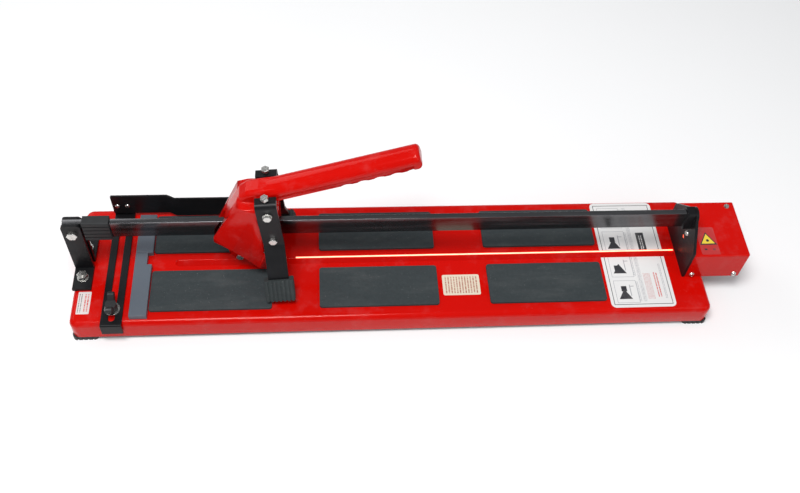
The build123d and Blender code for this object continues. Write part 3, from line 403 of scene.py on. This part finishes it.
class Print(Finish):
    """A printed film: shapes are laid on it in turn, in millimetres from a middle point."""

    def __init__(self, name, middle):
        super().__init__(name)
        self.x = (self.axis("X") - middle.x) / MM
        self.y = (self.axis("Y") - middle.y) / MM
        self.ink = None

    def start(self, paper):
        """Lays the bare film, a little uneven in tone."""
        self.ink = self.blend(self.noise(30.0, 3.0), rgba(paper, 0.93), rgba(paper, 1.0))

    def panel(self, x, y, long, wide):
        """A share of 1 inside a rectangle."""
        return (abs(self.x - x) < long / 2) * (abs(self.y - y) < wide / 2)

    def frame_line(self, x, y, long, wide, line):
        """A share of 1 on a rectangle's outline, of the line's width."""
        return self.panel(x, y, long, wide) - self.panel(x, y, long - 2 * line, wide - 2 * line)

    def dashes(self, x, y, long, wide, pitch, seed=0.0):
        """Short marks in rows along Y, like a block of small print, with no letters in them."""
        row = (self.x - x + long) / pitch
        lines = abs(row % 1.0 - 0.5) < DASH_HALF
        own_place = self.node(
            "ShaderNodeCombineXYZ",
            sockets={0: row - row % 1.0 + seed, 1: self.y * DASHES_PER_MM, 2: seed},
        )
        marks = self.noise(1.0, 1.0, place=own_place) > DASH_GAPS
        return self.panel(x, y, long, wide) * lines * marks

    def lay(self, share, colour):
        """Prints a colour where the share is 1."""
        self.ink = self.blend(share, self.ink, rgba(colour))

    def finished(self):
        """The printed film's material, scuffed a little."""
        scuff = self.noise(60.0, 5.0, 0.6).ramp(0.5, 0.75)
        ink = self.blend(scuff * 0.12, self.ink, PRINT_SCUFF)
        return self.surface(
            Base_Color=ink,
            Roughness=scuff * 0.2 + 0.28,
            Coat_Weight=(1 - scuff) * 0.3,
            Normal=self.bump(self.noise(400.0, 2.0), 0.1, 0.06 * MM),
        )


DARK = (0.03, 0.03, 0.035)
GREY = (0.38, 0.38, 0.4)
RED = (0.62, 0.05, 0.04)
PINK = (0.62, 0.35, 0.34)
RUST = (0.4, 0.14, 0.1)
AMBER = (0.85, 0.62, 0.05)
PAPER = (0.8, 0.79, 0.78)
CREAM = (0.74, 0.66, 0.52)
CORNER_PAPER = (0.72, 0.66, 0.64)
BOX_PAPER = (0.52, 0.03, 0.03)

# Half of an even-sided triangle's width over its height
HALF_WIDTH = 0.577


def triangle(sheet, x, y, size):
    """A share of 1 inside a triangle that points to the back."""
    rise = (sheet.y - y) + size / 2
    side = (size - rise) * HALF_WIDTH - abs(sheet.x - x)
    return (rise > 0) * (side > 0)


def guide_print(middle):
    """The large film: a bordered sheet with step panels, small-print rows and two colour blocks."""
    sheet = Print("guide_label_print", middle)
    sheet.start(PAPER)
    sheet.lay(sheet.frame_line(0, 0, 86, 178, 0.9), DARK)
    for step, shape in enumerate((1.0, -0.6, 0.8, -1.0)):
        y = -67 + step * 44
        sheet.lay(sheet.frame_line(-21, y, 33, 38, 0.6), GREY)
        sheet.lay(sheet.dashes(-3, y, 3.6, 34, 1.8, step), GREY)
        block = sheet.panel(-26 + 2 * shape, y + 5 * shape, 8, 9)
        sheet.lay(triangle(sheet, -24, y - 4, 17) + block, DARK)
        sheet.lay(sheet.panel(-15, y + 2, 1.2, 19) + sheet.panel(-12, y + 9, 6, 1.2), GREY)
    sheet.lay(sheet.dashes(3.5, 0, 5.4, 168, 1.8, 7.0), GREY)
    sheet.lay(sheet.panel(19, 17, 12, 40), DARK)
    sheet.lay(sheet.dashes(19, 17, 6, 30, 3.0, 3.0), PAPER)
    sheet.lay(sheet.dashes(14, -58, 10.8, 44, 1.8, 9.0), PINK)
    sheet.lay(sheet.dashes(27, -56, 7, 42, 3.5, 5.0), RED)
    sheet.lay(sheet.dashes(36, -50, 3.6, 60, 1.8, 11.0), GREY)
    return sheet.finished()


def notice_print(middle):
    """The cream film between the pads: rows of small print, with no letters."""
    sheet = Print("notice_label_print", middle)
    sheet.start(CREAM)
    sheet.lay(sheet.dashes(0, 0, 48, 28, 4.0, 2.0), RUST)
    return sheet.finished()


def corner_print(middle):
    """The film at the left corner: one bold row and two red ones, with no letters."""
    sheet = Print("corner_label_print", middle)
    sheet.start(CORNER_PAPER)
    sheet.lay(sheet.dashes(-5, 0, 4, 30, 4.0, 4.0), DARK)
    sheet.lay(sheet.dashes(3.5, 0, 7.2, 28, 3.6, 6.0), RED)
    return sheet.finished()


def box_print(middle):
    """The box's film: the box's own red, with a plain amber triangle edged in black."""
    sheet = Print("box_label_print", middle)
    sheet.start(BOX_PAPER)
    sheet.lay(triangle(sheet, 0, 4, 22), DARK)
    sheet.lay(triangle(sheet, 0, 3.6, 17), AMBER)
    spot = (sheet.x * sheet.x + (sheet.y - 0.5) * (sheet.y - 0.5)) ** 0.5
    sheet.lay(spot < 2.2, DARK)
    sheet.lay(sheet.dashes(0, -15, 16, 3, 16, 2.0), DARK)
    return sheet.finished()


# Groups of nodes


def named(*starts):
    """The nodes whose names begin with one of these words."""
    return [node for name, node in sorted(NODES.items()) if name.startswith(starts)]


def rounded(node, width):
    """Smooths a node's shading. Any width joins its faces too, and one above 0 eases sharp edges."""
    for polygon in node.data.polygons:
        polygon.use_smooth = True
    if width is None:
        return
    weld = node.modifiers.new("joined", "WELD")
    weld.merge_threshold = JOIN_DISTANCE
    if width:
        bevel = node.modifiers.new("eased", "BEVEL")
        bevel.width = width * MM
        bevel.segments = 2
        bevel.limit_method = "ANGLE"
        bevel.angle_limit = EASED_ANGLE
        bevel.use_clamp_overlap = True
    weighted = node.modifiers.new("shaded", "WEIGHTED_NORMAL")
    weighted.keep_sharp = True
    weighted.weight = 100


def dress(nodes, material, width=0.0):
    """Gives nodes one material and eased edges, their width in millimetres."""
    for node in nodes:
        node.data.materials.clear()
        node.data.materials.append(material)
        rounded(node, width)


def strip(name, points, half, lift):
    """A flat ribbon along +X through points, so wide each side and lifted a little."""
    mesh = bpy.data.meshes.new(name)
    vertices = [(x, y + side * half, z + lift) for x, y, z in points for side in (-1, 1)]
    faces = [(2 * i, 2 * i + 2, 2 * i + 3, 2 * i + 1) for i in range(len(points) - 1)]
    mesh.from_pydata(vertices, [], faces)
    ribbon = bpy.data.objects.new(name, mesh)
    bpy.context.scene.collection.objects.link(ribbon)
    return ribbon


# Settings


def colour_property(name, description, default):
    return bpy.props.FloatVectorProperty(
        name=name,
        description=description,
        default=default,
        subtype="COLOR",
        min=0.0,
        max=1.0,
    )


def length_property(name, description, default):
    return bpy.props.FloatProperty(
        name=name,
        description=description,
        default=default,
        unit="LENGTH",
    )


class TileCutterFinish(bpy.types.PropertyGroup):
    """The colours and edge sizes of the finishes."""

    red: colour_property("Red enamel", "Colour of the bed, head and box", (0.56, 0.003, 0.001))
    grey: colour_property("Grey enamel", "Colour of the tile fence", (0.105, 0.125, 0.15))
    black: colour_property("Black coat", "Colour of the brackets and arms", (0.007, 0.007, 0.008))
    pad: colour_property("Pad rubber", "Colour of the bed's pads", (0.036, 0.044, 0.047))
    dust: colour_property("Tile dust", "Colour of the dust on the pads", (0.5, 0.5, 0.48))
    rubber: colour_property("Moulded rubber", "Colour of feet and sleeves", (0.012, 0.013, 0.014))
    breaker: colour_property("Breaker rubber", "Colour of the breaker feet", (0.034, 0.041, 0.042))
    plastic: colour_property("Plastic", "Colour of the knob and switch", (0.012, 0.012, 0.013))
    rail: colour_property("Rail", "Colour of the rail's metal", (0.13, 0.13, 0.135))
    zinc: colour_property("Zinc", "Colour of the fasteners", (0.72, 0.71, 0.68))
    steel: colour_property("Steel", "Colour of the axles and rollers", (0.5, 0.5, 0.51))
    brass: colour_property("Brass", "Colour of the laser's barrel", (0.7, 0.5, 0.22))
    laser: colour_property("Laser", "Colour of the laser's light", (1.0, 0.12, 0.06))
    cell: colour_property("Cells", "Colour of the cells' jacket", (0.2, 0.22, 0.25))


class TileCutterStage(bpy.types.PropertyGroup):
    """The floor, the lights and the camera."""

    floor_width: length_property("Floor", "Width of the floor", 14.0)
    floor_colour: colour_property("Floor colour", "Colour of the floor", (0.93, 0.93, 0.93))
    camera_place: bpy.props.FloatVectorProperty(
        name="Camera place",
        description="Where the camera stands",
        default=(-0.1308, -0.7720, 1.1653),
        subtype="TRANSLATION",
        unit="LENGTH",
    )
    camera_turn: bpy.props.FloatProperty(
        name="Camera turn",
        description="How far the camera is turned to the right of straight back",
        default=math.radians(7.93),
        subtype="ANGLE",
    )
    camera_down: bpy.props.FloatProperty(
        name="Camera down",
        description="How far the camera looks below the horizon",
        default=math.radians(53.27),
        subtype="ANGLE",
    )
    camera_roll: bpy.props.FloatProperty(
        name="Camera roll",
        description="How far the camera is rolled about its own view",
        default=math.radians(5.36),
        subtype="ANGLE",
    )
    lens: bpy.props.FloatProperty(
        name="Lens",
        description="Focal length in millimetres",
        default=42.46,
    )
    shift: bpy.props.FloatVectorProperty(
        name="Shift",
        description="How far the view is shifted to the right and up",
        default=(-0.0023, -0.0250),
        size=2,
        precision=4,
    )
    key_power: bpy.props.FloatProperty(
        name="Key light",
        description="Power of the light near the camera, in watts",
        default=43.0,
    )
    world_light: bpy.props.FloatProperty(
        name="Surroundings",
        description="Strength of the light from all round",
        default=0.36,
    )


# Operators


class TILECUTTER_OT_bed(bpy.types.Operator):
    """Enamels the bed, its ridge and the box, and finishes the pads and feet"""

    bl_idname = "tilecutter.bed"
    bl_label = "Bed"

    def execute(self, context):
        look = context.scene.tile_cutter_finish
        red = enamel("red_enamel", look.red, 0.16)
        dress(named("bed_plate"), red)
        dress(named("breaking_ridge"), red, 0.15)
        dress(named("laser_cover"), red, 0.3)
        dress(named("bed_pad"), sheet_rubber("pad_rubber", look.pad, look.dust), 0.25)
        dress(named("rubber_foot"), moulded_rubber("foot_rubber", look.rubber), 0.4)
        return {"FINISHED"}


class TILECUTTER_OT_fence(bpy.types.Operator):
    """Finishes the tile fence and the width stop with its knob"""

    bl_idname = "tilecutter.fence"
    bl_label = "Fence and width stop"

    def execute(self, context):
        look = context.scene.tile_cutter_finish
        dress(named("tile_fence"), enamel("grey_enamel", look.grey, 0.3), 0.3)
        dress(named("stop_arm", "stop_guide"), powder_coat("stop_black_coat", look.black), 0.3)
        dress(named("wing_knob"), moulded_plastic("knob_plastic", look.plastic), 0.5)
        return {"FINISHED"}


class TILECUTTER_OT_rail(bpy.types.Operator):
    """Finishes the rail, its buffer, its brackets and its end support"""

    bl_idname = "tilecutter.rail"
    bl_label = "Rail and supports"

    def execute(self, context):
        look = context.scene.tile_cutter_finish
        dress([NODES["rail"]], rail_metal("rail_plate", look.rail))
        dress(named("rail_buffer"), moulded_rubber("buffer_rubber", look.rubber), 0.4)
        coat = powder_coat("support_black_coat", look.black)
        dress(named("left_bracket", "end_support"), coat, 0.4)
        return {"FINISHED"}


class TILECUTTER_OT_head(bpy.types.Operator):
    """Enamels the head casting and finishes the breaker arms, their feet, rollers and the wheel"""

    bl_idname = "tilecutter.head"
    bl_label = "Head"

    def execute(self, context):
        look = context.scene.tile_cutter_finish
        dress(named("handle_casting"), enamel("head_red_enamel", look.red, 0.14))
        dress(named("breaker_arm"), powder_coat("arm_black_coat", look.black), None)
        dress(named("breaker_foot"), sheet_rubber("breaker_rubber", look.breaker, look.dust), 0.3)
        for name in ("top_roller", "lower_roller", "carriage_axle", "lower_axle", "cutting_wheel"):
            low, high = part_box(name)
            steel = turned_steel(f"{name}_steel", look.steel, (low + high) / 2)
            dress([NODES[name]], steel)
        return {"FINISHED"}


class TILECUTTER_OT_fasteners(bpy.types.Operator):
    """Plates the bolts, nuts, washers, rivets and screws"""

    bl_idname = "tilecutter.fasteners"
    bl_label = "Fasteners"

    def execute(self, context):
        look = context.scene.tile_cutter_finish
        zinc = plated_steel("zinc_plate", look.zinc)
        words = ("bolt", "bolts", "nut", "nuts", "washer", "washers", "screws", "rivets", "stud")
        nodes = [node for name, node in sorted(NODES.items()) if name.split("_")[-1] in words]
        dress(nodes, zinc, 0.2)
        return {"FINISHED"}


class TILECUTTER_OT_laser(bpy.types.Operator):
    """Finishes what the laser box holds"""

    bl_idname = "tilecutter.laser"
    bl_label = "Laser parts"

    def execute(self, context):
        look = context.scene.tile_cutter_finish
        plastic = moulded_plastic("box_plastic", look.plastic)
        moulded = named("laser_clamp", "battery_holder", "switch_housing", "laser_switch")
        dress(moulded, plastic, 0.2)
        dress(named("laser_module"), brass("laser_brass", look.brass))
        dress(named("laser_lens"), lit_lens("lens_glass", look.laser))
        dress(named("batteries"), wrapped_cell("cell_jacket", look.cell))
        return {"FINISHED"}


class TILECUTTER_OT_labels(bpy.types.Operator):
    """Prints the label films with plain panels and rows that hold no letters"""

    bl_idname = "tilecutter.labels"
    bl_label = "Labels"

    def execute(self, context):
        labels = NODES["labels"]
        mesh = labels.data
        corners = [vertex.co for vertex in mesh.vertices]
        box_from = min(corner.z for corner in corners) + BOX_ABOVE
        regions = (
            (guide_print, lambda c: GUIDE_FROM < c.x < GUIDE_TO and c.z < box_from),
            (notice_print, lambda c: NOTICE_FROM < c.x < GUIDE_FROM),
            (corner_print, lambda c: c.x < NOTICE_FROM),
            (box_print, lambda c: c.z > box_from),
        )
        mesh.materials.clear()
        for slot, (make_print, inside) in enumerate(regions):
            own = [corner for corner in corners if inside(corner)]
            low = Vector([min(corner[i] for corner in own) for i in range(3)])
            high = Vector([max(corner[i] for corner in own) for i in range(3)])
            mesh.materials.append(make_print((low + high) / 2))
            for polygon in mesh.polygons:
                if inside(polygon.center):
                    polygon.material_index = slot
        return {"FINISHED"}


class TILECUTTER_OT_laser_line(bpy.types.Operator):
    """Draws the laser's line of light along the ridge and up to the end support"""

    bl_idname = "tilecutter.laser_line"
    bl_label = "Laser line"

    def execute(self, context):
        look = context.scene.tile_cutter_finish
        ridge_low, ridge_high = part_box("breaking_ridge")
        foot_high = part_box("breaker_foot_front")[1]
        support_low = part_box("end_support")[0]
        middle = (ridge_low.y + ridge_high.y) / 2
        points = [
            (foot_high.x, middle, ridge_high.z),
            (ridge_high.x, middle, ridge_high.z),
            (support_low.x, middle, ridge_high.z),
        ]
        ribbon = strip("laser_line", points, LINE_HALF, LINE_LIFT)
        finish = Finish("laser_light")
        flicker = finish.noise(1.0, 3.0, 0.6, finish.stretched(60, 900, 1)).ramp(0.3, 0.7, 0.6)
        core = (abs(finish.axis("Y") - middle) / LINE_HALF).ramp(0.25, 0.85, 1.0, 0.0)
        glow = finish.blend(core * flicker, rgba(look.laser), LINE_CORE)
        light = finish.surface(
            Base_Color=glow,
            Roughness=0.5,
            Emission_Color=glow,
            Emission_Strength=LINE_GLOW,
        )
        ribbon.data.materials.append(light)
        return {"FINISHED"}


class TILECUTTER_OT_stage(bpy.types.Operator):
    """Lays the floor, hangs the lights and stands the camera"""

    bl_idname = "tilecutter.stage"
    bl_label = "Stage"

    def execute(self, context):
        setting = context.scene.tile_cutter_stage
        self.lay_floor(setting)
        self.hang_lights(setting)
        self.stand_camera(context, setting)
        context.scene.view_settings.view_transform = "Standard"
        return {"FINISHED"}

    def lay_floor(self, setting):
        """A wide sheet of pale paper under the cutter."""
        half = setting.floor_width / 2
        mesh = bpy.data.meshes.new("floor")
        mesh.from_pydata(
            [(-half, -half, 0), (half, -half, 0), (half, half, 0), (-half, half, 0)],
            [],
            [(0, 1, 2, 3)],
        )
        floor = bpy.data.objects.new("floor", mesh)
        bpy.context.scene.collection.objects.link(floor)
        finish = Finish("floor_paper")
        tone = finish.blend(
            finish.noise(2.0, 2.0),
            rgba(setting.floor_colour, 0.98),
            rgba(setting.floor_colour),
        )
        floor.data.materials.append(finish.surface(Base_Color=tone, Roughness=0.9))

    def hang_lights(self, setting):
        """Even light from all round, and the square lights aimed at the cutter."""
        world = bpy.data.worlds.new("surroundings")
        world.use_nodes = True
        background = world.node_tree.nodes["Background"]
        background.inputs["Color"].default_value = SKY
        background.inputs["Strength"].default_value = setting.world_light
        bpy.context.scene.world = world
        for name, place, width, share in LIGHTS:
            lamp = bpy.data.lights.new(name, "AREA")
            lamp.energy = setting.key_power * share
            lamp.size = width
            holder = bpy.data.objects.new(name, lamp)
            holder.location = place
            holder.rotation_euler = (LIT_POINT - Vector(place)).to_track_quat("-Z", "Y").to_euler()
            bpy.context.scene.collection.objects.link(holder)

    def stand_camera(self, context, setting):
        """The camera, turned, tipped down and rolled from looking straight back."""
        camera = bpy.data.cameras.new("camera")
        camera.lens = setting.lens
        camera.shift_x, camera.shift_y = setting.shift
        camera.clip_start, camera.clip_end = NEAR, FAR
        holder = bpy.data.objects.new("camera", camera)
        level = Euler((math.pi / 2 - setting.camera_down, 0, -setting.camera_turn)).to_matrix()
        roll = Matrix.Rotation(setting.camera_roll, 3, "Z")
        holder.matrix_world = Matrix.Translation(setting.camera_place) @ (level @ roll).to_4x4()
        context.scene.collection.objects.link(holder)
        context.scene.camera = holder


class TILECUTTER_PT_panel(bpy.types.Panel):
    """The tile cutter's pieces and settings"""

    bl_idname = "TILECUTTER_PT_panel"
    bl_label = "Tile Cutter"
    bl_space_type = "VIEW_3D"
    bl_region_type = "UI"
    bl_category = "Tile Cutter"

    def draw(self, context):
        for group in (context.scene.tile_cutter_finish, context.scene.tile_cutter_stage):
            column = self.layout.column(align=True)
            for name in group.__annotations__:
                column.prop(group, name)
        for operator in OPERATORS:
            self.layout.operator(operator.bl_idname)


OPERATORS = (
    TILECUTTER_OT_bed,
    TILECUTTER_OT_fence,
    TILECUTTER_OT_rail,
    TILECUTTER_OT_head,
    TILECUTTER_OT_fasteners,
    TILECUTTER_OT_laser,
    TILECUTTER_OT_labels,
    TILECUTTER_OT_laser_line,
    TILECUTTER_OT_stage,
)
CLASSES = (TileCutterFinish, TileCutterStage, *OPERATORS, TILECUTTER_PT_panel)


def register():
    for made in CLASSES:
        bpy.utils.register_class(made)
    bpy.types.Scene.tile_cutter_finish = bpy.props.PointerProperty(type=TileCutterFinish)
    bpy.types.Scene.tile_cutter_stage = bpy.props.PointerProperty(type=TileCutterStage)


def unregister():
    del bpy.types.Scene.tile_cutter_stage
    del bpy.types.Scene.tile_cutter_finish
    for made in reversed(CLASSES):
        bpy.utils.unregister_class(made)


def main():
    register()
    for operator in OPERATORS:
        group, name = operator.bl_idname.split(".")
        getattr(getattr(bpy.ops, group), name)()


if __name__ == "__main__":
    main()
